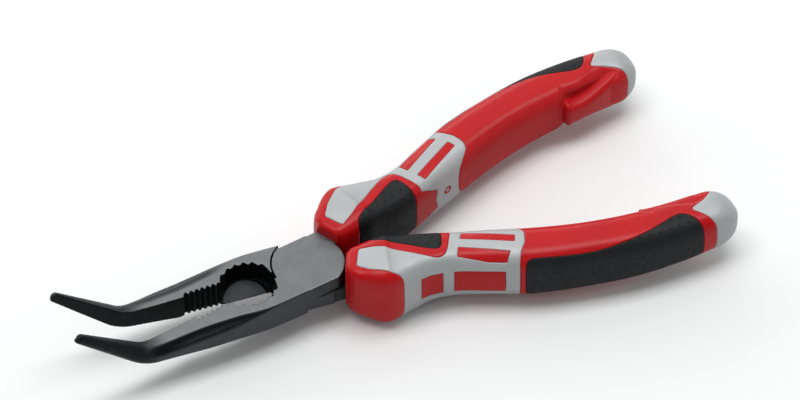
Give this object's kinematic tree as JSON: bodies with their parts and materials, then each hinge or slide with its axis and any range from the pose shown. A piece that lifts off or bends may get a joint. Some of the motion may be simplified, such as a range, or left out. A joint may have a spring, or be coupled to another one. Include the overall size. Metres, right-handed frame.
{
  "type": "needle nose pliers",
  "caption": "Bent-nose radio pliers with a side cutter, toothed pipe grip, lap joint and three-component grips with tether lugs.",
  "frame": {"origin": "on the pivot axis, at the underside of the lap joint", "axes": "+Z is the pivot axis, towards the side that the noses bend to; -X is towards the jaws and +X towards the handles; +Y is the side of lever A's handle"},
  "size_m": [0.2037, 0.0812, 0.0313],
  "materials": {
    "phosphated_steel": "satin gunmetal phosphated tool steel",
    "rivet_steel": "satin, ground flush",
    "red_grip": "satin moulded, softly textured",
    "silver_grip": "satin moulded, fine metallic flake",
    "black_grip": "matt soft grip with rows of small dimples"
  },
  "bodies": {
    "lever_a_side": {"lever_a": "phosphated_steel", "pivot_rivet": "rivet_steel", "grip_sleeve_a": "red_grip", "grip_frame_a": "silver_grip", "thumb_pad_a": "black_grip", "palm_pad_a": "black_grip", "end_cap_a": "silver_grip"},
    "lever_b_side": {"lever_b": "phosphated_steel", "grip_sleeve_b": "red_grip", "grip_frame_b": "silver_grip", "thumb_pad_b": "black_grip", "palm_pad_b": "black_grip", "end_cap_b": "silver_grip"}
  },
  "joints": [
    {"name": "pivot", "type": "hinge", "parent": "lever_a_side", "child": "lever_b_side", "pos_m": [0, 0, 0], "axis": [0, 0, -1], "range_deg": [-12.4, 32]}
  ]
}
